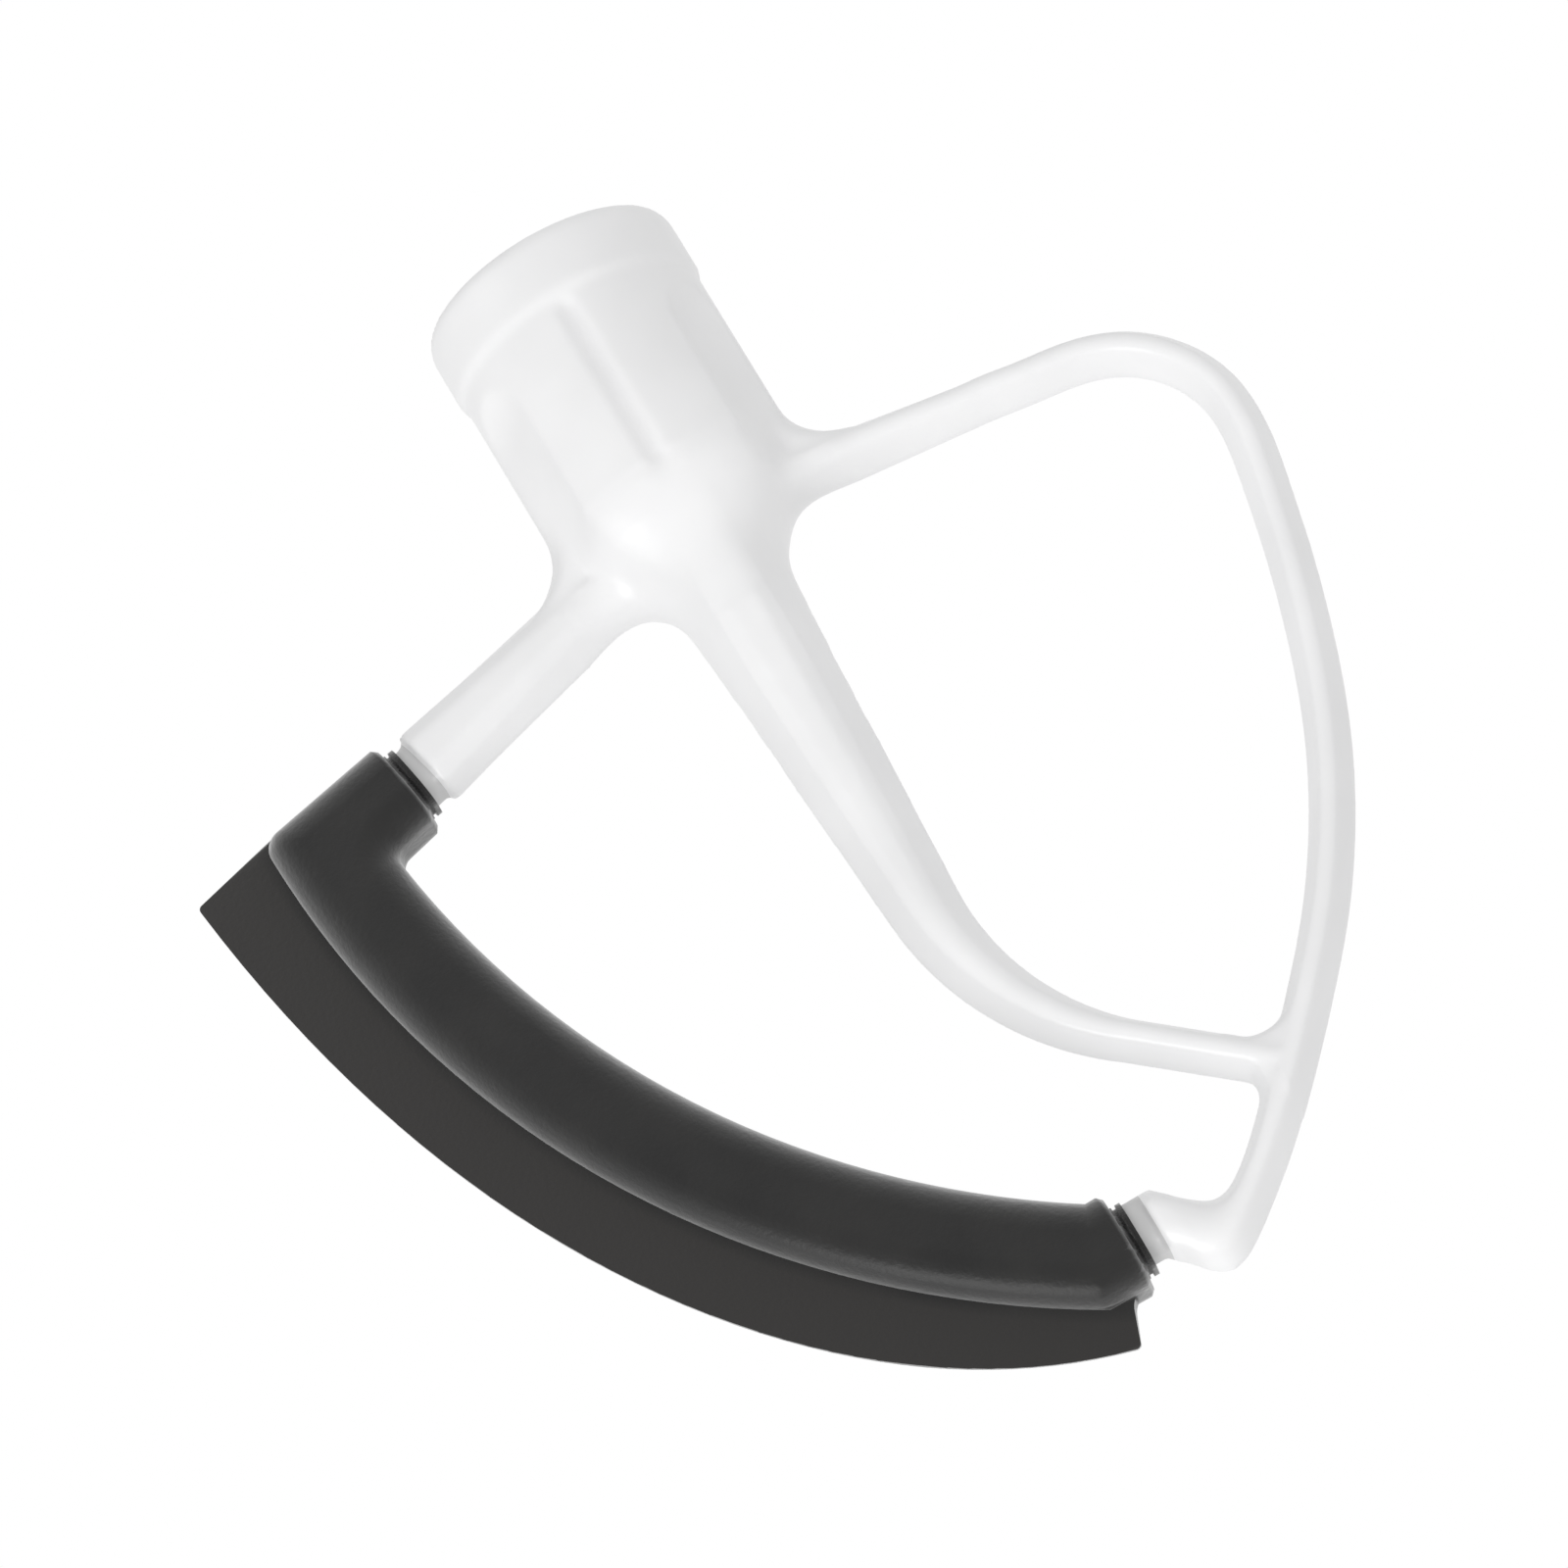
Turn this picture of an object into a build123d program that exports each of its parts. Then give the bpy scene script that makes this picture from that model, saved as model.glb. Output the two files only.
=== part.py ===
from build123d import *
import math
import os

# Stand mixer scraper beater, in millimetres.
# Origin at the middle of the hub's top face, +Z up the drive shaft, the flexible edge on -X.

# Hub, turned about Z
HUB_R = 16.0
COLLAR_H = 8.2
COLLAR_STEP = 0.5
HUB_TOP_ROUND = 1.6
HUB_BODY_BOTTOM = -33.5
HUB_FOOT_HALF_W = 7.2
HUB_FOOT_HALF_T = 9.4
HUB_FOOT_Z = -45.0
FLUTE_ANGLE = 29.0
FLUTE_CUT_R = 20.0
FLUTE_DEPTH = 1.7
FLUTE_RUNOUT = 9.0
KEEL_R = 1.5
KEEL_DEPTH = 0.9
KEEL_TOP = -10.0

# Shaft bore with its one-sided bayonet slot
BORE_R = 6.45
BORE_DEPTH = 27.0
SLOT_W = 5.2
SLOT_R = 11.0
SLOT_DEPTH = 17.0
LATCH_H = 5.4
LATCH_ANGLE = 60.0

# Cast bars, six-sided across with bevelled corners: half thickness, share of the width that is flat at the ridge,
# ridge bevel as a share of half that flat
BAR_HALF_T = 4.8
BAR_FLAT = 0.30
END_FLAT = 0.72
HEEL_FLAT = 0.45
CORNER_FLAT = 0.5
RIDGE_BEVEL = 0.45
PARTING_BEVEL = 0.5
CORNER_HALF_T = 4.2

# Arms as middle points (x, z) and widths
ARM_L_ROOT = (-5.0, -35.9)
ARM_L_ROOT_W = 9.3
ARM_L_END = (-40.5, -44.9)
ARM_L_END_W = 9.9
ARM_R_ROOT = (5.0, -35.7)
ARM_R_ROOT_W = 7.7
ARM_R_END = (46.4, -41.8)
ARM_R_LEAD = 12.0

# Rim from the shoulder to the foot
RIM_W = 5.7
RIM_TOP = (59.7, -60.0)
RIM_MIDDLE = (51.9, -90.0)
RIM_LOW = (32.2, -122.0)
RIM_RUN = 13.0
LEAD_STEPS = 2
SHOULDER_STEPS = 4
RIM_STEPS = 4

# Foot, both edges as x, z, x, z
HEEL_LOWER = (13.2, -136.6, 14.6, -142.7)
HEEL_BOTTOM = (10.3, -137.0, 8.8, -145.8)
HEEL_FRONT = (6.6, -134.2, 5.4, -142.9)
FOOT_FACE = (3.6, -132.8, 3.6, -141.1)
FOOT_HALF_T = 4.9

# Stem down the axis and link over to the rim: width, half thickness and flat share
STEM_TOP_Z = -34.0
STEM_TOP = (17.5, 13.4, 0.5)
STEM_MIDDLE_Z = -72.0
STEM_MIDDLE = (11.3, 5.8, 0.4)
STEM_BEND_Z = -90.0
STEM_BEND = (9.2, 5.0, 0.35)
LINK_BEND_R = 34.8
LINK_TURN = 48.5
LINK_STEPS = 4
LINK_SIZE = (5.3, 4.7, 0.35)
LINK_RUN = 18.0

# Soft inside corners: the hollow edge and a point within the bars, start, middle and end
HUB_CORNER_L = ((-22.0, -35.9, -18.0, -40.0), (-17.3, -32.4, -11.0, -36.0), (-15.7, -28.0, -9.0, -28.0))
HUB_CORNER_R = ((22.5, -35.5, 18.0, -39.0), (17.3, -32.3, 11.0, -36.0), (15.7, -28.0, 9.0, -28.0))
CROTCH_L = ((-14.6, -42.4, -12.0, -38.0), (-8.4, -43.3, -4.0, -39.0), (-7.1, -48.4, -1.0, -48.4))
CROTCH_R = ((14.6, -39.9, 12.0, -36.5), (8.6, -41.6, 4.0, -38.0), (7.1, -47.0, 1.0, -47.0))
LOOP_CORNER = ((18.2, -132.8, 22.0, -136.0), (21.2, -128.4, 26.4, -128.8), (18.4, -124.2, 21.5, -121.4))
FORK_CORNER = ((19.4, -119.9, 17.0, -123.0), (25.7, -123.4, 26.4, -128.4), (31.4, -119.4, 34.6, -122.0))

# Necks and rail under the flexible edge
NECK_HALF_T = 3.6
NECK_ROUND = 2.6
NECK_L_IN = (-39.0, -44.6)
NECK_L_OUT = (-57.6, -49.4)
NECK_H = 7.2
NECK_FOOT_Z = -136.4
NECK_FOOT_IN = 5.4
NECK_FOOT_OUT = -6.0
RAIL_UPPER = (-54.81, -46.0)
RAIL_LOWER = (-2.66, -137.0)
RAIL_R = 113.6
RAIL_W = 6.8
RAIL_HALF_T = 3.2
RAIL_TOP_Z = -49.0

# Flexible edge: sleeve between two arcs through an upper and a lower point, thin blade outside it
SLEEVE_HALF_T = 5.9
SLEEVE_ROUND = 4.4
ROOT_UPPER = (-61.06, -46.0)
ROOT_LOWER = (-13.9, -137.0)
ROOT_R = 117.6
INNER_UPPER = (-49.24, -46.0)
INNER_LOWER = (8.21, -137.0)
INNER_R = 110.3
SLEEVE_TOP = (-44.6, -40.3)
SLEEVE_TOP_SLOPE = 11.3
SLEEVE_ELBOW_ROUND = 2.2
SLEEVE_LOW = (-42.6, -51.3)
SLEEVE_LOW_SLOPE = 14.0
SLEEVE_CORNER_ROUND = 1.6
SLEEVE_FOOT_TOP = -130.8
SLEEVE_FOOT_LOW = -142.7
SLEEVE_FOOT_X = 0.0
SLEEVE_OVERRUN = 7.0
SLEEVE_END_BEVEL = 0.6
BLADE_HALF_T = 1.3
BLADE_TIP = (-71.2, -45.6)
BLADE_TOP_OUTER = (-58.8, -42.9)
BLADE_TOP_INNER = (-56.0, -47.0)
BLADE_UPPER = (-66.8, -70.0)
BLADE_LOWER = (-50.3, -110.0)
BLADE_NEAR_END = (-19.6, -141.5)
BLADE_END = (-4.7, -147.9)
BLADE_NOTCH = (-3.2, -144.0)
BLADE_WEB_END = (-0.8, -142.3)
BLADE_INNER_END = (-3.0, -139.0)
BLADE_EDGE_ROUND = 0.6
RING_HALF_T = 4.5
RING_H = 8.5
RING_ROUND = 3.4
RING_REACH = 1.4
SLIT_W = 0.5
SLIT_AT = 0.3
SLIT_DEPTH = 0.4


def arc_centre(upper, lower, radius):
    """The centre, on the +X side, of a circle through two points."""
    a = Vector(*upper)
    b = Vector(*lower)
    half = (b - a).length / 2
    out = Vector(a.Y - b.Y, b.X - a.X).normalized()
    centre = (a + b) / 2 + out * math.sqrt(radius ** 2 - half ** 2)
    return (centre.X, centre.Y)


def circle_x(centre, radius, z):
    """The -X side of a circle about centre at height z."""
    return centre[0] - math.sqrt(radius ** 2 - (z - centre[1]) ** 2)


def on_line(point, slope, x):
    """A point of a line through point that rises with x."""
    return (x, point[1] + slope * (x - point[0]))


def meet(centre, radius, point, slope):
    """Where a rising line meets the -X side of a circle."""
    x = point[0]
    for _ in range(60):
        x = circle_x(centre, radius, point[1] + slope * (x - point[0]))
    return on_line(point, slope, x)


def front_face(*lines):
    """A face in the beater's plane from lines drawn as (x, z)."""
    return Plane.XZ * make_face([edge for line in lines for edge in line.edges()])


def across(station):
    """The plane across a bar between its two edges, x axis from edge to edge, and the width there."""
    first = Vector(station[0], 0, station[1])
    second = Vector(station[2], 0, station[3])
    u = (second - first).normalized()
    return Plane(origin=(first + second) / 2, x_dir=u, z_dir=Vector(0, 1, 0).cross(u)), (second - first).length


def square_to(point, along):
    """The plane square to a bar that runs along a direction in the beater's plane."""
    return Plane(origin=(point[0], 0, point[1]), x_dir=(-along[1], 0, along[0]), z_dir=(along[0], 0, along[1]))


def bar_section(width, half_t, flat):
    """Across a cast bar: widest at the parting line, sloping in to a narrow ridge front and back."""
    ridge = flat * width / 2
    corners = [
        (width / 2, 0), (ridge, half_t), (-ridge, half_t), (-width / 2, 0), (-ridge, -half_t), (ridge, -half_t)
    ]
    face = make_face(Polyline(*corners, close=True))
    by_height = face.vertices().group_by(Axis.Y)
    face = chamfer(by_height[1], PARTING_BEVEL)
    by_height = face.vertices().group_by(Axis.Y)
    return chamfer(by_height[0] + by_height[-1], RIDGE_BEVEL * ridge)


def cast_bar(stations, half_t, flats):
    """A cast bar through stations given by both edges."""
    sections = []
    for station, flat in zip(stations, flats):
        plane, width = across(station)
        sections.append(plane * bar_section(width, half_t, flat))
    return loft(sections)


# Hub with collar, flutes beside the arms and a keel groove front and back
body_r = HUB_R - COLLAR_STEP
round_in = HUB_TOP_ROUND * (1 - math.sqrt(0.5))
hub_line = Polyline(
    (0, 0), (HUB_R - HUB_TOP_ROUND, 0), (HUB_R - round_in, -round_in), (HUB_R, -HUB_TOP_ROUND), (HUB_R, -COLLAR_H),
    (body_r, -COLLAR_H - COLLAR_STEP), (body_r, HUB_BODY_BOTTOM), (0, HUB_BODY_BOTTOM), close=True
)
hub = revolve(front_face(hub_line), Axis.Z)
hub_foot = Pos(0, 0, HUB_FOOT_Z) * Ellipse(HUB_FOOT_HALF_W, HUB_FOOT_HALF_T)
hub += loft([hub_foot, Pos(0, 0, HUB_BODY_BOTTOM) * Circle(body_r)])

flute_h = -HUB_FOOT_Z
flute = Pos(0, 0, -COLLAR_H - flute_h / 2) * Cylinder(FLUTE_CUT_R, flute_h)
flute = fillet(flute.edges().filter_by(GeomType.CIRCLE).group_by(Axis.Z)[-1], FLUTE_RUNOUT)
keel_h = KEEL_TOP - HUB_FOOT_Z
keel = Pos(0, 0, KEEL_TOP - keel_h / 2) * Cylinder(KEEL_R, keel_h)
keel += Pos(0, 0, KEEL_TOP + KEEL_R / 2) * Cone(KEEL_R, 0, KEEL_R)
for side in (0, 180):
    for turn in (-FLUTE_ANGLE, FLUTE_ANGLE):
        hub -= Rot(0, 0, side + turn) * Pos(body_r - FLUTE_DEPTH + FLUTE_CUT_R, 0, 0) * flute
    hub -= Rot(0, 0, side + 90) * Pos(body_r - KEEL_DEPTH + KEEL_R, 0, 0) * keel

# Stem and link
link_arc = JernArc(start=(0, STEM_BEND_Z), tangent=(0, -1), radius=LINK_BEND_R, arc_size=LINK_TURN)
stem_down = (0, -1)
stem_sections = []
for z, size in ((STEM_TOP_Z, STEM_TOP), (STEM_MIDDLE_Z, STEM_MIDDLE), (STEM_BEND_Z, STEM_BEND)):
    stem_sections.append(square_to((0, z), stem_down) * bar_section(*size))
bend_sections = []
for step in range(LINK_STEPS + 1):
    at = link_arc @ (step / LINK_STEPS)
    along = link_arc % (step / LINK_STEPS)
    size = [a + (b - a) * step / LINK_STEPS for a, b in zip(STEM_BEND, LINK_SIZE)]
    bend_sections.append(square_to((at.X, at.Y), (along.X, along.Y)) * bar_section(*size))
stem = loft(stem_sections)
bend = loft(bend_sections)
link = extrude(bend_sections[-1], LINK_RUN)

# Arms, rim and foot
arm_r_dir = (Vector(*ARM_R_END) - Vector(*ARM_R_ROOT)).normalized()
shoulder = TangentArc(ARM_R_END, RIM_TOP, tangent=arm_r_dir)
rim_upper = TangentArc(RIM_TOP, RIM_MIDDLE, tangent=shoulder % 1)
rim_lower = TangentArc(RIM_MIDDLE, RIM_LOW, tangent=rim_upper % 1)
rim_line = Line(rim_lower @ 1, (rim_lower @ 1) + (rim_lower % 1) * RIM_RUN)
arm_r_out = (arm_r_dir.X, arm_r_dir.Y)
lead_start = Vector(*ARM_R_END) - arm_r_dir * ARM_R_LEAD
lead = Line(lead_start, ARM_R_END)
rim_section = square_to((lead_start.X, lead_start.Y), arm_r_out) * bar_section(RIM_W, BAR_HALF_T, BAR_FLAT)
rim_sections = [rim_section]
rim_path = (
    (lead, LEAD_STEPS), (shoulder, SHOULDER_STEPS), (rim_upper, RIM_STEPS), (rim_lower, RIM_STEPS), (rim_line, 1)
)
for piece, steps in rim_path:
    for step in range(1, steps + 1):
        at = piece @ (step / steps)
        along = piece % (step / steps)
        rim_sections.append(square_to((at.X, at.Y), (along.X, along.Y)) * bar_section(RIM_W, BAR_HALF_T, BAR_FLAT))
foot_path = ((HEEL_LOWER, BAR_FLAT), (HEEL_BOTTOM, HEEL_FLAT), (HEEL_FRONT, END_FLAT), (FOOT_FACE, END_FLAT))
for station, flat in foot_path:
    plane, width = across(station)
    rim_sections.append(plane * bar_section(width, FOOT_HALF_T, flat))
rim = loft(rim_sections)
arm_r = loft([square_to(ARM_R_ROOT, arm_r_out) * bar_section(ARM_R_ROOT_W, BAR_HALF_T, BAR_FLAT), rim_section])
arm_l_dir = (Vector(*ARM_L_END) - Vector(*ARM_L_ROOT)).normalized()
arm_l_out = (arm_l_dir.X, arm_l_dir.Y)
arm_l = loft(
    [
        square_to(ARM_L_ROOT, arm_l_out) * bar_section(ARM_L_ROOT_W, BAR_HALF_T, BAR_FLAT),
        square_to(ARM_L_END, arm_l_out) * bar_section(ARM_L_END_W, BAR_HALF_T, END_FLAT),
    ]
)
frame = hub + stem + bend + link
for bar in (rim, arm_r, arm_l):
    frame += bar
for corner in (HUB_CORNER_L, HUB_CORNER_R, CROTCH_L, CROTCH_R, LOOP_CORNER, FORK_CORNER):
    frame += cast_bar(corner, CORNER_HALF_T, [CORNER_FLAT] * 3)

# Necks and the rail between them
neck_a = Vector(NECK_L_IN[0], 0, NECK_L_IN[1])
neck_b = Vector(NECK_L_OUT[0], 0, NECK_L_OUT[1])
neck_dir = (neck_b - neck_a).normalized()
neck_plane = Plane(origin=neck_a, x_dir=(-neck_dir.Z, 0, neck_dir.X), z_dir=neck_dir)
neck_l = extrude(neck_plane * RectangleRounded(NECK_H, 2 * NECK_HALF_T, NECK_ROUND), (neck_b - neck_a).length)
foot_plane = Plane(origin=(NECK_FOOT_IN, 0, NECK_FOOT_Z), x_dir=(0, 0, 1), z_dir=(-1, 0, 0))
neck_r = extrude(
    foot_plane * RectangleRounded(NECK_H, 2 * NECK_HALF_T, NECK_ROUND), NECK_FOOT_IN - NECK_FOOT_OUT
)
rail_centre = arc_centre(RAIL_UPPER, RAIL_LOWER, RAIL_R)
rail_axis = Axis((rail_centre[0], 0, rail_centre[1]), (0, 1, 0))
rail_start = math.degrees(math.asin((rail_centre[1] - RAIL_TOP_Z) / RAIL_R))
rail_stop = math.degrees(math.asin((rail_centre[1] - NECK_FOOT_Z) / RAIL_R))
rail_plane = Plane(
    origin=(circle_x(rail_centre, RAIL_R, RAIL_TOP_Z), 0, RAIL_TOP_Z),
    x_dir=(math.cos(math.radians(rail_start)), 0, math.sin(math.radians(rail_start))),
    z_dir=(math.sin(math.radians(rail_start)), 0, -math.cos(math.radians(rail_start))),
)
rail = revolve(
    rail_plane * Rectangle(RAIL_W, 2 * RAIL_HALF_T), rail_axis, -(rail_stop - rail_start)
)
carrier = neck_l + rail + neck_r
frame += carrier

# Shaft bore and bayonet slot
bore = Pos(0, 0, -BORE_DEPTH / 2) * Cylinder(BORE_R, BORE_DEPTH)
slot = Pos(SLOT_R / 2, 0, -SLOT_DEPTH / 2) * Box(SLOT_R, SLOT_W, SLOT_DEPTH)
slot &= Pos(0, 0, -SLOT_DEPTH / 2) * Cylinder(SLOT_R, SLOT_DEPTH)
latch = Pos(0, 0, -SLOT_DEPTH + LATCH_H / 2) * Cylinder(SLOT_R, LATCH_H, arc_size=LATCH_ANGLE)
frame -= bore + slot + latch

# Flexible edge: sleeve
run = SLEEVE_OVERRUN
top_slope = math.tan(math.radians(SLEEVE_TOP_SLOPE))
low_slope = math.tan(math.radians(SLEEVE_LOW_SLOPE))
root_centre = arc_centre(ROOT_UPPER, ROOT_LOWER, ROOT_R)
inner_centre = arc_centre(INNER_UPPER, INNER_LOWER, INNER_R)
elbow = meet(root_centre, ROOT_R, SLEEVE_TOP, top_slope)
corner = meet(inner_centre, INNER_R, SLEEVE_LOW, low_slope)
root_foot = (circle_x(root_centre, ROOT_R, SLEEVE_FOOT_LOW), SLEEVE_FOOT_LOW)
inner_foot = (circle_x(inner_centre, INNER_R, SLEEVE_FOOT_TOP), SLEEVE_FOOT_TOP)
root_mid_z = (elbow[1] + SLEEVE_FOOT_LOW) / 2
inner_mid_z = (corner[1] + SLEEVE_FOOT_TOP) / 2
end_in_top = on_line(SLEEVE_TOP, top_slope, SLEEVE_TOP[0] + run)
end_in_low = on_line(SLEEVE_LOW, low_slope, SLEEVE_LOW[0] + run)
sleeve = front_face(
    Line(end_in_top, elbow),
    ThreePointArc(elbow, (circle_x(root_centre, ROOT_R, root_mid_z), root_mid_z), root_foot),
    Polyline(root_foot, (run, SLEEVE_FOOT_LOW), (run, SLEEVE_FOOT_TOP), inner_foot),
    ThreePointArc(inner_foot, (circle_x(inner_centre, INNER_R, inner_mid_z), inner_mid_z), corner),
    Polyline(corner, end_in_low, end_in_top),
)
sleeve = extrude(sleeve, SLEEVE_HALF_T, both=True)
upright = sleeve.edges().filter_by(Axis.Y)
sleeve = fillet(upright.sort_by_distance((elbow[0], 0, elbow[1]))[0], SLEEVE_ELBOW_ROUND)
upright = sleeve.edges().filter_by(Axis.Y)
sleeve = fillet(upright.sort_by_distance((corner[0], 0, corner[1]))[0], SLEEVE_CORNER_ROUND)
skin = [edge for face in sleeve.faces().filter_by(Axis.Y) for edge in face.edges()]
sleeve = fillet(skin, SLEEVE_ROUND)

# Sleeve ends, each with a slit and an end ring over the neck
end_l = Plane(
    origin=((SLEEVE_TOP[0] + SLEEVE_LOW[0]) / 2, 0, (SLEEVE_TOP[1] + SLEEVE_LOW[1]) / 2),
    x_dir=(SLEEVE_TOP[0] - SLEEVE_LOW[0], 0, SLEEVE_TOP[1] - SLEEVE_LOW[1]),
    z_dir=(SLEEVE_TOP[1] - SLEEVE_LOW[1], 0, SLEEVE_LOW[0] - SLEEVE_TOP[0]),
)
end_foot = Plane(
    origin=(SLEEVE_FOOT_X, 0, (SLEEVE_FOOT_TOP + SLEEVE_FOOT_LOW) / 2), x_dir=(0, 0, 1), z_dir=(1, 0, 0)
)
for end in (end_l, end_foot):
    sleeve -= end * Pos(0, 0, run) * Box(4 * run, 4 * run, 2 * run)
    cut = sleeve.faces().sort_by_distance(end.origin)[0]
    sleeve = chamfer(cut.edges(), SLEEVE_END_BEVEL)
for end in (end_l, end_foot):
    ring = end * Pos(0, 0, -run / 2) * RectangleRounded(RING_H, 2 * RING_HALF_T, RING_ROUND)
    sleeve += extrude(ring, run / 2 + RING_REACH)
    slit = end * Pos(0, 0, SLIT_AT) * RectangleRounded(RING_H + run, 2 * RING_HALF_T + run, RING_ROUND)
    web = end * Pos(0, 0, SLIT_AT) * RectangleRounded(
        RING_H - 2 * SLIT_DEPTH, 2 * (RING_HALF_T - SLIT_DEPTH), RING_ROUND - SLIT_DEPTH
    )
    sleeve -= extrude(slit - web, SLIT_W)

# Blade
blade_lines = [
    Polyline(BLADE_TOP_INNER, BLADE_TOP_OUTER, BLADE_TIP),
    Spline(BLADE_TIP, BLADE_UPPER, BLADE_LOWER, BLADE_NEAR_END, BLADE_END),
    Line(BLADE_END, BLADE_NOTCH),
    TangentArc(BLADE_NOTCH, BLADE_WEB_END, tangent=Vector(*BLADE_NOTCH) - Vector(*BLADE_END)),
    Line(BLADE_WEB_END, BLADE_INNER_END),
    ThreePointArc(
        BLADE_INNER_END,
        (circle_x(rail_centre, RAIL_R, root_mid_z), root_mid_z),
        BLADE_TOP_INNER,
    ),
]
blade = extrude(front_face(*blade_lines), BLADE_HALF_T, both=True)
tips = blade.edges().filter_by(Axis.Y)
blade = fillet(
    [tips.sort_by_distance((p[0], 0, p[1]))[0] for p in (BLADE_TIP, BLADE_END)], BLADE_EDGE_ROUND
)
edge = sleeve + blade
edge -= carrier
os.makedirs("parts", exist_ok=True)
export_step(frame, "parts/beater_frame.step")
export_step(edge, "parts/flex_edge.step")
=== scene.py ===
import math
import bmesh
import bpy
from mathutils import Matrix, Vector


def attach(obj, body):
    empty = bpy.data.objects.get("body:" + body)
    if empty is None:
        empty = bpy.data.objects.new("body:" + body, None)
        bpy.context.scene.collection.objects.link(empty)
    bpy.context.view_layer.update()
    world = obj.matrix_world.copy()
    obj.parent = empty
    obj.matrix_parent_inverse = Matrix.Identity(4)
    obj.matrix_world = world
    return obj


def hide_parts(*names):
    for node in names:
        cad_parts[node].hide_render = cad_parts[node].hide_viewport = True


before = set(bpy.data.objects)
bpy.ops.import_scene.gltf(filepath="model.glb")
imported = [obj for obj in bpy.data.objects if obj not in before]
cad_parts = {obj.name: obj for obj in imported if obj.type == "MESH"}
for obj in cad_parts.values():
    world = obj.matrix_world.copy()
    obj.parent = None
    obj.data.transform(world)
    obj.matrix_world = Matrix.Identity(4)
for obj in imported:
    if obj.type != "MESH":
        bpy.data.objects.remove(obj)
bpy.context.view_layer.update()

# Beater frame: hub, stem, loop, necks and hidden rail are one aluminium casting.
# A thick sprayed white coat is baked on, and it softens every edge and inside corner.
# The two necks under the ends of the flexible edge are painted a flat grey, darker than the coat.
weld = 0.000002
coat_grain = 0.0005
coat_passes = 2
hub_foot_passes = 30
hub_foot_half_w = 0.013
hub_foot_low = -0.050
hub_foot_high = -0.0318
corner_steps = 8
corner_passes = 9
corner_rise = 0.0028
corner_narrowing = 0.0007
corner_in = 0.0035
corner_out = 0.0185
corner_low = -0.0700
corner_high = -0.037
heel_passes = 10
heel_left = 0.0065
heel_right = 0.024
foot_top = -0.128
arm_direction = (-0.969, 0, -0.246)
arm_length = 0.0506
foot_end = 0.0036


def merged_copy(name, node):
    piece = bpy.data.objects.new(name, node.data.copy())
    bpy.context.scene.collection.objects.link(piece)
    shell = bmesh.new()
    shell.from_mesh(piece.data)
    bmesh.ops.remove_doubles(shell, verts=shell.verts, dist=weld)
    return piece, shell


def soften(shell, verts, passes):
    for _ in range(passes):
        bmesh.ops.smooth_vert(
            shell, verts=verts, factor=0.5, use_axis_x=True, use_axis_y=True, use_axis_z=True
        )


beater, bare_casting = merged_copy("coated_frame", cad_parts["beater_frame"])
bare_casting.to_mesh(beater.data)
bare_casting.free()
coat = beater.modifiers.new("coat", "REMESH")
coat.mode = "VOXEL"
coat.voxel_size = coat_grain
coated = bpy.data.meshes.new_from_object(beater.evaluated_get(bpy.context.evaluated_depsgraph_get()))
beater.modifiers.clear()
beater.data = coated
skin = bmesh.new()
skin.from_mesh(coated)
soften(skin, skin.verts, coat_passes)
hub_foot = [v for v in skin.verts if abs(v.co.x) < hub_foot_half_w and hub_foot_low < v.co.z < hub_foot_high]
soften(skin, hub_foot, hub_foot_passes)
for step in range(corner_steps):
    outer = corner_out - step * corner_narrowing
    lower = corner_low + step * corner_rise
    corners = [v for v in skin.verts if corner_in < abs(v.co.x) < outer and lower < v.co.z < corner_high]
    soften(skin, corners, corner_passes)
heel = [v for v in skin.verts if heel_left < v.co.x < heel_right and v.co.z < foot_top]
soften(skin, heel, heel_passes)
for face in skin.faces:
    face.smooth = True
skin.to_mesh(coated)
skin.free()

white_coat = bpy.data.materials.new("white_coat")
white_coat.use_nodes = True
nodes = white_coat.node_tree.nodes
links = white_coat.node_tree.links
enamel = nodes["Principled BSDF"]
enamel.inputs["Roughness"].default_value = 0.32
place = nodes.new("ShaderNodeTexCoord")
cloud = nodes.new("ShaderNodeTexNoise")
cloud.inputs["Scale"].default_value = 55.0
cloud.inputs["Detail"].default_value = 3.0
tint = nodes.new("ShaderNodeValToRGB")
tint.color_ramp.elements[0].position = 0.3
tint.color_ramp.elements[0].color = (0.84, 0.84, 0.845, 1)
tint.color_ramp.elements[1].position = 0.7
tint.color_ramp.elements[1].color = (0.90, 0.90, 0.905, 1)
links.new(place.outputs["Object"], cloud.inputs["Vector"])
links.new(cloud.outputs["Fac"], tint.inputs["Fac"])
along_arm = nodes.new("ShaderNodeVectorMath")
along_arm.operation = "DOT_PRODUCT"
along_arm.inputs[1].default_value = arm_direction
arm_neck = nodes.new("ShaderNodeMath")
arm_neck.operation = "GREATER_THAN"
arm_neck.inputs[1].default_value = arm_length
axes = nodes.new("ShaderNodeSeparateXYZ")
past_foot = nodes.new("ShaderNodeMath")
past_foot.operation = "LESS_THAN"
past_foot.inputs[1].default_value = foot_end
down_low = nodes.new("ShaderNodeMath")
down_low.operation = "LESS_THAN"
down_low.inputs[1].default_value = foot_top
foot_neck = nodes.new("ShaderNodeMath")
foot_neck.operation = "MULTIPLY"
necks = nodes.new("ShaderNodeMath")
necks.operation = "MAXIMUM"
grey_necks = nodes.new("ShaderNodeMix")
grey_necks.data_type = "RGBA"
grey_necks.inputs["B"].default_value = (0.60, 0.60, 0.60, 1)
links.new(place.outputs["Object"], along_arm.inputs[0])
links.new(place.outputs["Object"], axes.inputs["Vector"])
links.new(axes.outputs["X"], past_foot.inputs[0])
links.new(axes.outputs["Z"], down_low.inputs[0])
links.new(past_foot.outputs["Value"], foot_neck.inputs[0])
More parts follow.
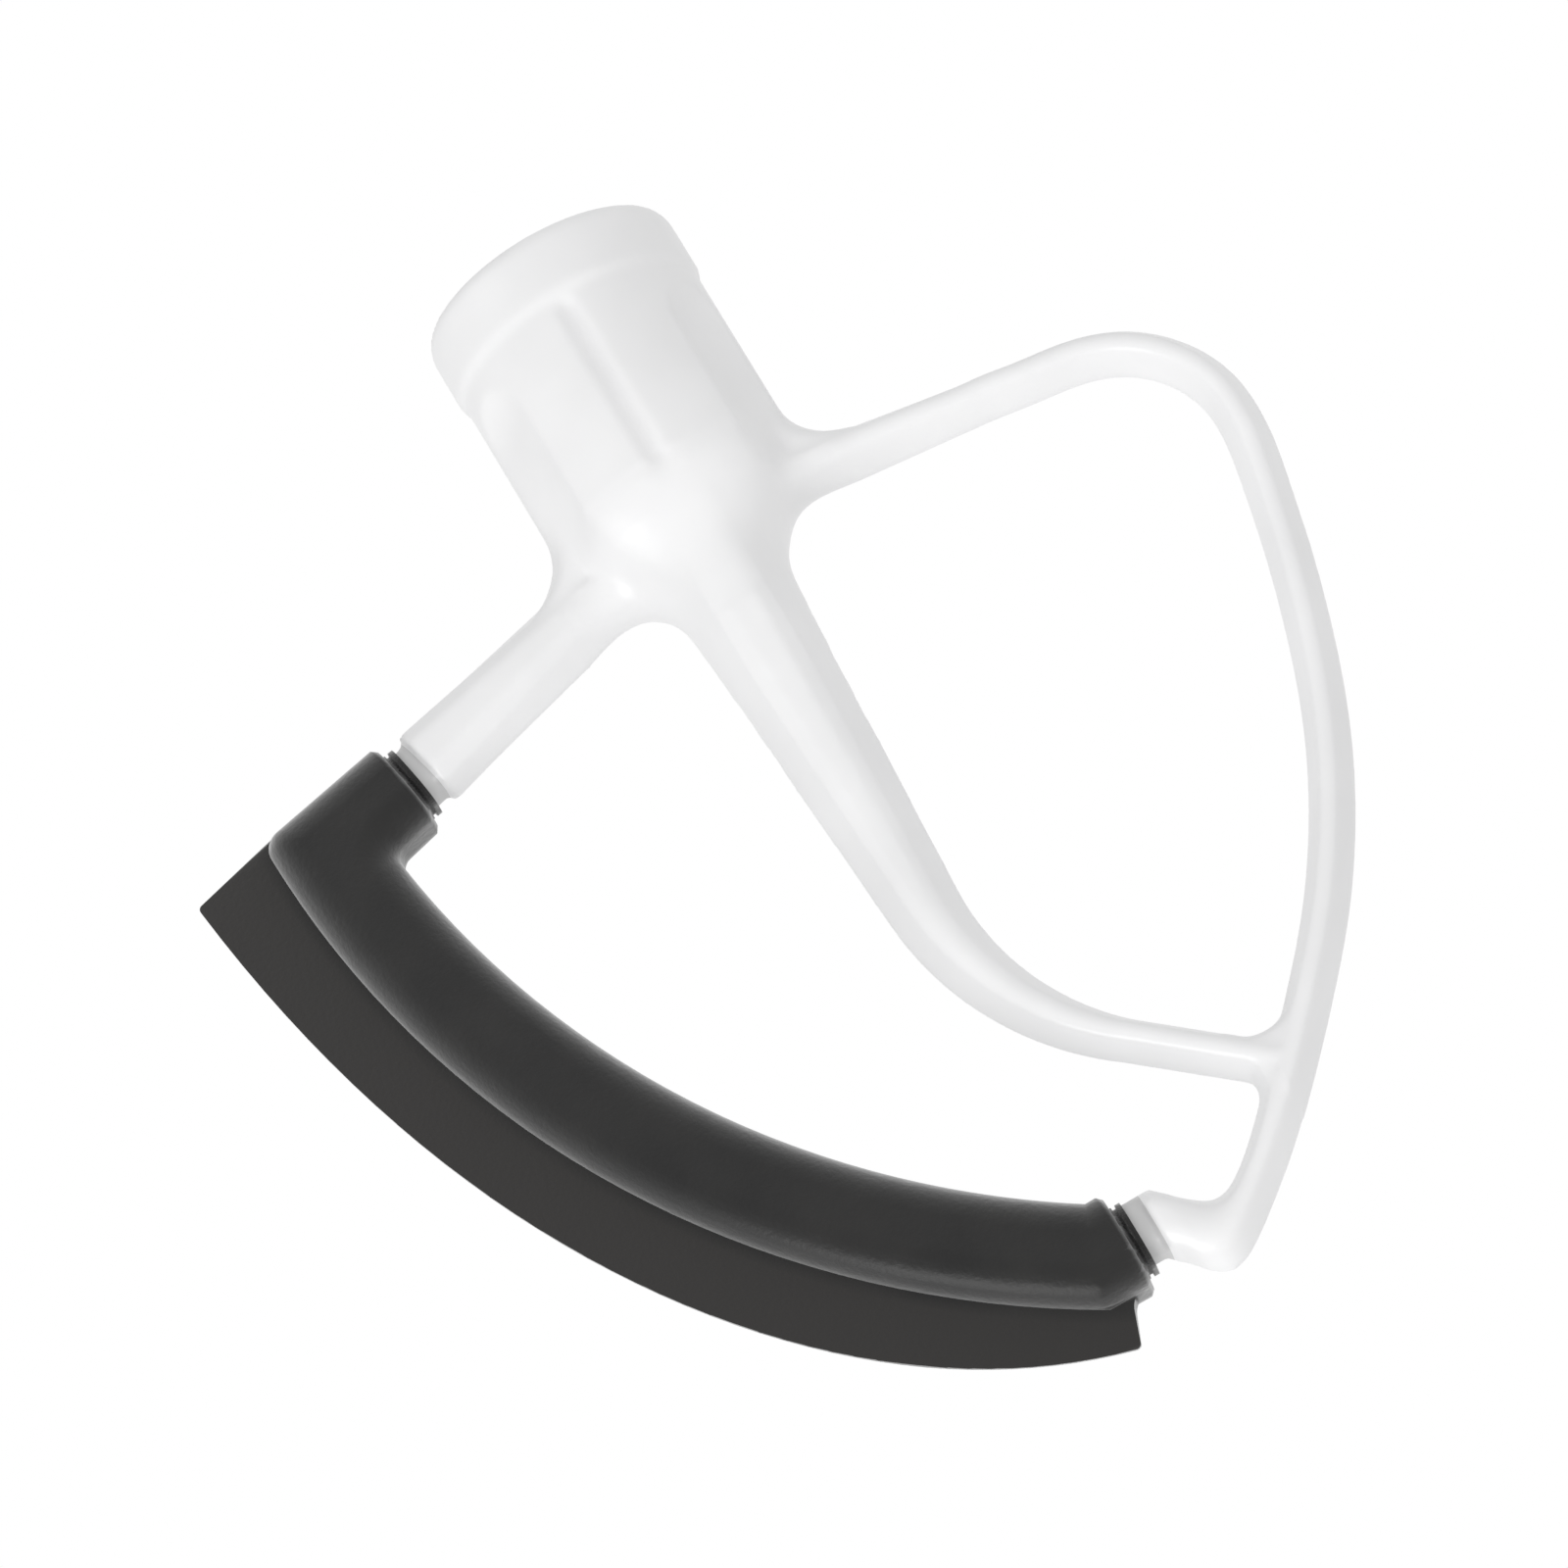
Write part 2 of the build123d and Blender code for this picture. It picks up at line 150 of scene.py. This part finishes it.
links.new(down_low.outputs["Value"], foot_neck.inputs[1])
links.new(along_arm.outputs["Value"], arm_neck.inputs[0])
links.new(arm_neck.outputs["Value"], necks.inputs[0])
links.new(foot_neck.outputs["Value"], necks.inputs[1])
links.new(necks.outputs["Value"], grey_necks.inputs["Factor"])
links.new(tint.outputs["Color"], grey_necks.inputs["A"])
links.new(grey_necks.outputs["Result"], enamel.inputs["Base Color"])
peel = nodes.new("ShaderNodeTexNoise")
peel.inputs["Scale"].default_value = 900.0
peel.inputs["Detail"].default_value = 2.0
ripple = nodes.new("ShaderNodeBump")
ripple.inputs["Strength"].default_value = 0.2
ripple.inputs["Distance"].default_value = 0.0001
links.new(place.outputs["Object"], peel.inputs["Vector"])
links.new(peel.outputs["Fac"], ripple.inputs["Height"])
links.new(ripple.outputs["Normal"], enamel.inputs["Normal"])
coated.materials.clear()
coated.materials.append(white_coat)
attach(beater, "root")
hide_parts("beater_frame")

# Flexible edge: one piece of dark silicone moulded over the rail and necks.
# It is a rounded sleeve with a blade outside it, and a ring with a slit at each end.
# The blade thins from its root, an arc round the root's middle, to a lip, and is narrower near its foot end.
root_middle = Vector((0.0565, 0, -0.0428))
root_radius = 0.1176
lip_thinning = 0.75
lip_reach = 0.0086
end_reach = 0.0040
end_angle = math.radians(59.8)
reach_gain = 0.0232
tail_left = -0.020
tail_right = -0.0014
tail_low = -0.1440
tail_high = -0.1370
tail_cuts = 3
tail_passes = 26
blade_clear = 0.0016
crease_angle = math.radians(28)
tint_fade = 0.0015


def on_tail(point):
    inside = tail_left < point.x < tail_right and tail_low < point.z < tail_high
    return inside and abs(point.y) > blade_clear


edge, moulded = merged_copy("silicone_edge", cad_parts["flex_edge"])
tail_faces = [f for f in moulded.faces if on_tail(f.calc_center_median())]
tail_edges = list(dict.fromkeys(e for f in tail_faces for e in f.edges))
bmesh.ops.subdivide_edges(moulded, edges=tail_edges, cuts=tail_cuts, use_grid_fill=True)
soften(moulded, [v for v in moulded.verts if on_tail(v.co)], tail_passes)
for vert in moulded.verts:
    out = Vector((vert.co.x, 0, vert.co.z)) - root_middle
    along = math.atan2(-out.z, -out.x)
    blade_reach = max(end_reach, min(lip_reach, end_reach + reach_gain * (end_angle - along)))
    vert.co.y *= 1 - lip_thinning * min(1.0, max(0.0, out.length - root_radius) / blade_reach)
for face in moulded.faces:
    face.smooth = True
moulded.to_mesh(edge.data)
moulded.free()
edge.data.set_sharp_from_angle(angle=crease_angle)
even = edge.modifiers.new("even_shading", "WEIGHTED_NORMAL")
even.keep_sharp = True
even.weight = 90

silicone = bpy.data.materials.new("dark_silicone")
silicone.use_nodes = True
nodes = silicone.node_tree.nodes
links = silicone.node_tree.links
rubber = nodes["Principled BSDF"]
rubber.inputs["Specular IOR Level"].default_value = 0.2
rubber.inputs["Sheen Weight"].default_value = 0.85
rubber.inputs["Sheen Roughness"].default_value = 0.5
place = nodes.new("ShaderNodeTexCoord")
mottle = nodes.new("ShaderNodeTexNoise")
mottle.inputs["Scale"].default_value = 120.0
mottle.inputs["Detail"].default_value = 4.0
tint = nodes.new("ShaderNodeValToRGB")
tint.color_ramp.elements[0].position = 0.3
tint.color_ramp.elements[0].color = (0.001, 0.001, 0.001, 1)
tint.color_ramp.elements[1].position = 0.7
tint.color_ramp.elements[1].color = (0.008, 0.0075, 0.007, 1)
gloss = nodes.new("ShaderNodeMapRange")
gloss.inputs["To Min"].default_value = 0.31
gloss.inputs["To Max"].default_value = 0.37
links.new(place.outputs["Object"], mottle.inputs["Vector"])
links.new(mottle.outputs["Fac"], tint.inputs["Fac"])
links.new(mottle.outputs["Fac"], gloss.inputs["Value"])
links.new(gloss.outputs["Result"], rubber.inputs["Roughness"])
from_root = nodes.new("ShaderNodeVectorMath")
from_root.operation = "SUBTRACT"
from_root.inputs[1].default_value = root_middle
in_plane = nodes.new("ShaderNodeVectorMath")
in_plane.operation = "MULTIPLY"
in_plane.inputs[1].default_value = (1, 0, 1)
reach = nodes.new("ShaderNodeVectorMath")
reach.operation = "LENGTH"
on_blade = nodes.new("ShaderNodeMapRange")
on_blade.inputs["From Min"].default_value = root_radius
on_blade.inputs["From Max"].default_value = root_radius + tint_fade
# The blade gets a slightly lighter base colour than the sleeve.
blade_tone = nodes.new("ShaderNodeMix")
blade_tone.data_type = "RGBA"
blade_tone.inputs["B"].default_value = (0.014, 0.0125, 0.0115, 1)
links.new(place.outputs["Object"], from_root.inputs[0])
links.new(from_root.outputs["Vector"], in_plane.inputs[0])
links.new(in_plane.outputs["Vector"], reach.inputs[0])
links.new(reach.outputs["Value"], on_blade.inputs["Value"])
links.new(on_blade.outputs["Result"], blade_tone.inputs["Factor"])
links.new(tint.outputs["Color"], blade_tone.inputs["A"])
links.new(blade_tone.outputs["Result"], rubber.inputs["Base Color"])
pores = nodes.new("ShaderNodeTexNoise")
pores.inputs["Scale"].default_value = 1600.0
pores.inputs["Detail"].default_value = 3.0
matte = nodes.new("ShaderNodeBump")
matte.inputs["Strength"].default_value = 0.5
matte.inputs["Distance"].default_value = 0.0001
links.new(place.outputs["Object"], pores.inputs["Vector"])
links.new(pores.outputs["Fac"], matte.inputs["Height"])
links.new(matte.outputs["Normal"], rubber.inputs["Normal"])
edge.data.materials.clear()
edge.data.materials.append(silicone)
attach(edge, "root")
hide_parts("flex_edge")

# Studio: pale floor far below, white surroundings, a soft lamp and the camera below the beater.
# The surroundings are darker to both sides and above, as with black flags round a white object.
# The camera looks up at the front and is rolled, so that the hub leans to the left.
floor_z = -1.5
floor_half = 0.8
floor_mesh = bpy.data.meshes.new("studio_floor")
sheet = bmesh.new()
bmesh.ops.create_grid(sheet, x_segments=1, y_segments=1, size=floor_half)
bmesh.ops.translate(sheet, verts=sheet.verts, vec=(0, 0, floor_z))
sheet.to_mesh(floor_mesh)
sheet.free()
floor = bpy.data.objects.new("studio_floor", floor_mesh)
bpy.context.scene.collection.objects.link(floor)


def seen_as_white(nodes, links, lit, white, surface):
    seen = nodes.new("ShaderNodeLightPath")
    plain = nodes.new("ShaderNodeMath")
    plain.operation = "MAXIMUM"
    clear = nodes.new("ShaderNodeMath")
    clear.operation = "MAXIMUM"
    swap = nodes.new("ShaderNodeMixShader")
    links.new(seen.outputs["Is Camera Ray"], plain.inputs[0])
    links.new(seen.outputs["Is Glossy Ray"], plain.inputs[1])
    links.new(plain.outputs["Value"], clear.inputs[0])
    links.new(seen.outputs["Is Transmission Ray"], clear.inputs[1])
    links.new(clear.outputs["Value"], swap.inputs["Fac"])
    links.new(lit, swap.inputs[1])
    links.new(white, swap.inputs[2])
    links.new(swap.outputs["Shader"], surface)


paper = bpy.data.materials.new("pale_paper")
paper.use_nodes = True
nodes = paper.node_tree.nodes
links = paper.node_tree.links
paper_shade = nodes["Principled BSDF"]
paper_shade.inputs["Base Color"].default_value = (0.8, 0.8, 0.8, 1)
paper_shade.inputs["Roughness"].default_value = 0.9
paper_white = nodes.new("ShaderNodeEmission")
paper_surface = nodes["Material Output"].inputs["Surface"]
seen_as_white(nodes, links, paper_shade.outputs["BSDF"], paper_white.outputs["Emission"], paper_surface)
floor_mesh.materials.append(paper)

world = bpy.data.worlds.new("studio_air")
world.use_nodes = True
bpy.context.scene.world = world
nodes = world.node_tree.nodes
links = world.node_tree.links
ambient = nodes["Background"]
ambient.inputs["Color"].default_value = (1, 1, 1, 1)
toward = nodes.new("ShaderNodeTexCoord")
lean = nodes.new("ShaderNodeVectorMath")
lean.operation = "DOT_PRODUCT"
lean.inputs[1].default_value = (-0.02, -0.15, -0.26)
level = nodes.new("ShaderNodeMath")
level.inputs[1].default_value = 0.93
split = nodes.new("ShaderNodeSeparateXYZ")
square = nodes.new("ShaderNodeMath")
square.operation = "MULTIPLY"
flags = nodes.new("ShaderNodeMath")
flags.operation = "MULTIPLY_ADD"
flags.inputs[1].default_value = -0.42
links.new(toward.outputs["Generated"], lean.inputs[0])
links.new(toward.outputs["Generated"], split.inputs["Vector"])
links.new(split.outputs["X"], square.inputs[0])
links.new(split.outputs["X"], square.inputs[1])
links.new(lean.outputs["Value"], level.inputs[0])
links.new(square.outputs["Value"], flags.inputs[0])
links.new(level.outputs["Value"], flags.inputs[2])
links.new(flags.outputs["Value"], ambient.inputs["Strength"])
backdrop = nodes.new("ShaderNodeBackground")
backdrop.inputs["Color"].default_value = (1, 1, 1, 1)
backdrop.inputs["Strength"].default_value = 1.0
air_surface = nodes["World Output"].inputs["Surface"]
seen_as_white(nodes, links, ambient.outputs["Background"], backdrop.outputs["Background"], air_surface)

middle = Vector((-0.00635, 0, -0.0686))
key_away = Vector((-0.70, -0.22, -0.68))
key = bpy.data.lights.new("key_lamp", "AREA")
key.shape = "DISK"
key.size = 0.5
key.energy = 3.0
key_object = bpy.data.objects.new("key_lamp", key)
key_object.location = middle + key_away
key_object.rotation_euler = key_away.to_track_quat("Z", "Y").to_euler()
bpy.context.scene.collection.objects.link(key_object)

azimuth = math.radians(-2.0)
elevation = math.radians(-21.0)
roll = math.radians(31.1)
distance = 1.1
back = Vector(
    (math.sin(azimuth) * math.cos(elevation), -math.cos(azimuth) * math.cos(elevation), math.sin(elevation))
)
level_right = (-back).cross(Vector((0, 0, 1))).normalized()
level_up = back.cross(level_right)
up = level_up * math.cos(roll) + level_right * math.sin(roll)
right = level_right * math.cos(roll) - level_up * math.sin(roll)
lens = bpy.data.cameras.new("studio_camera")
lens.sensor_width = 36.0
lens.lens = 221.9
camera = bpy.data.objects.new("studio_camera", lens)
turned = Matrix((right, up, back)).transposed().to_4x4()
camera.matrix_world = Matrix.Translation(middle + back * distance) @ turned
bpy.context.scene.collection.objects.link(camera)
bpy.context.scene.camera = camera
bpy.context.scene.view_settings.view_transform = "Standard"
